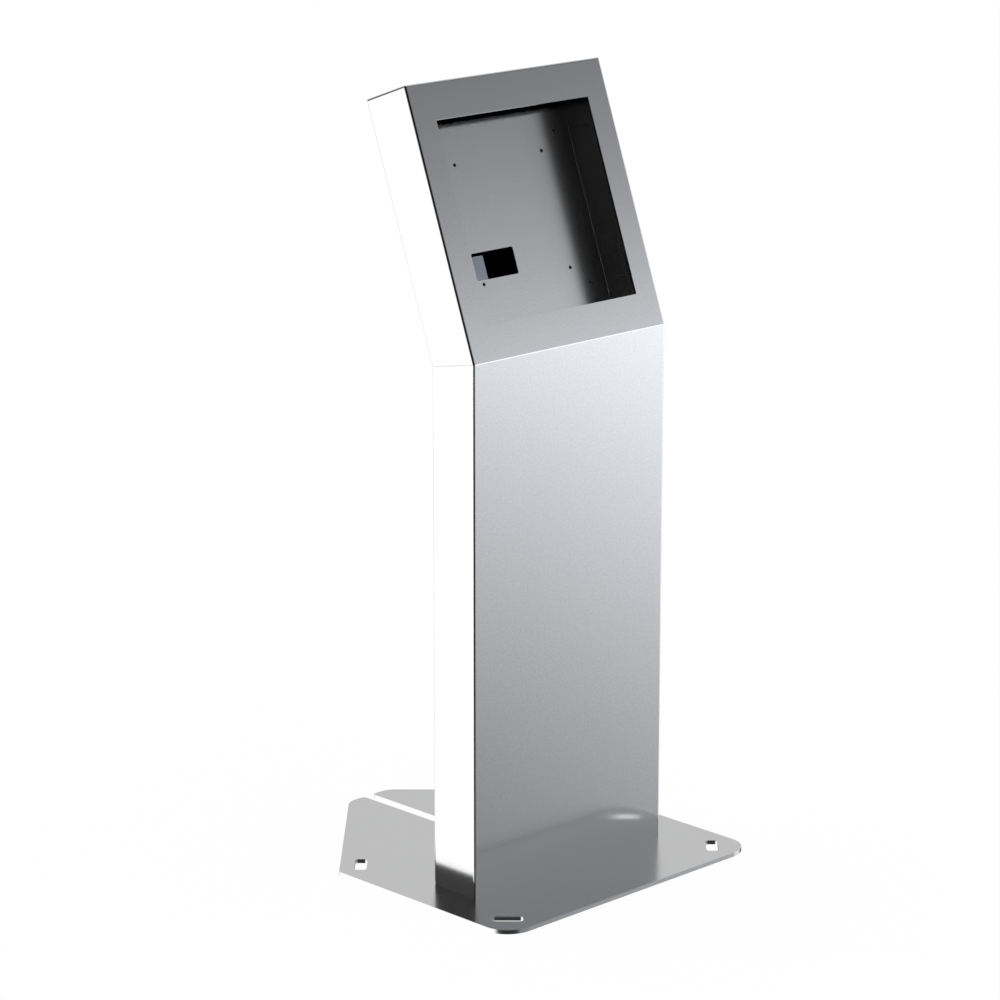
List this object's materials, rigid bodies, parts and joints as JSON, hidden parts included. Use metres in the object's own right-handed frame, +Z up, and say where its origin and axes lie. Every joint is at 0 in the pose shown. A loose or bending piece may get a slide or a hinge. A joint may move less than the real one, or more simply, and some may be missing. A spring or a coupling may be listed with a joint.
{
  "type": "intercom pedestal",
  "caption": "Floor-standing folded steel pedestal with a leaning head, a square recess for an intercom station and a slotted base plate.",
  "frame": {"origin": "on the floor, under the middle of the base plate's outline", "axes": "+Z up, -Y towards the user who faces the head, +X to that user's right"},
  "size_m": [0.5, 0.552, 1.1323],
  "materials": {
    "polished_stainless": "polished stainless sheet with a faint upright grain",
    "tray_stainless": "bright stainless sheet, slightly cloudier than the face",
    "galvanised_steel": "zinc-coated sheet with soft spangle",
    "fastener_steel": "plain stainless hardware",
    "seal_rubber": "closed-cell rubber strip",
    "brass": "plain brass",
    "nylon": "natural nylon"
  },
  "bodies": {
    "pedestal": {"base_plate": "polished_stainless", "base_studs": "fastener_steel", "foot_frame": "galvanised_steel", "base_washers": "fastener_steel", "base_nuts": "fastener_steel", "column_shell": "polished_stainless", "front_channel": "galvanised_steel", "column_joint_plate": "galvanised_steel", "head_joint_plate": "galvanised_steel", "joint_bolts": "fastener_steel", "joint_nuts": "fastener_steel", "head_shell": "polished_stainless", "tray_studs": "fastener_steel", "tray_gasket": "seal_rubber", "mounting_tray": "tray_stainless", "top_strip": "seal_rubber", "tray_nuts": "fastener_steel", "inner_weld_nuts": "fastener_steel", "outer_weld_nuts": "fastener_steel", "bar_studs": "fastener_steel", "cable_bar": "galvanised_steel", "bar_nuts": "fastener_steel", "earth_stud": "fastener_steel", "earth_washer": "brass", "earth_nut": "brass", "head_panel_seal": "seal_rubber", "head_panel": "polished_stainless", "panel_rivets": "fastener_steel", "rivet_nuts": "fastener_steel"},
    "column_cover": {"column_cover": "polished_stainless", "cover_rib": "galvanised_steel", "cover_seal": "seal_rubber", "cover_screws": "fastener_steel", "screw_washers": "nylon"}
  },
  "joints": [
    {"name": "cover_slide", "type": "slide", "parent": "pedestal", "child": "column_cover", "axis": [0, 1, 0], "range_m": [0, 0.15]}
  ]
}
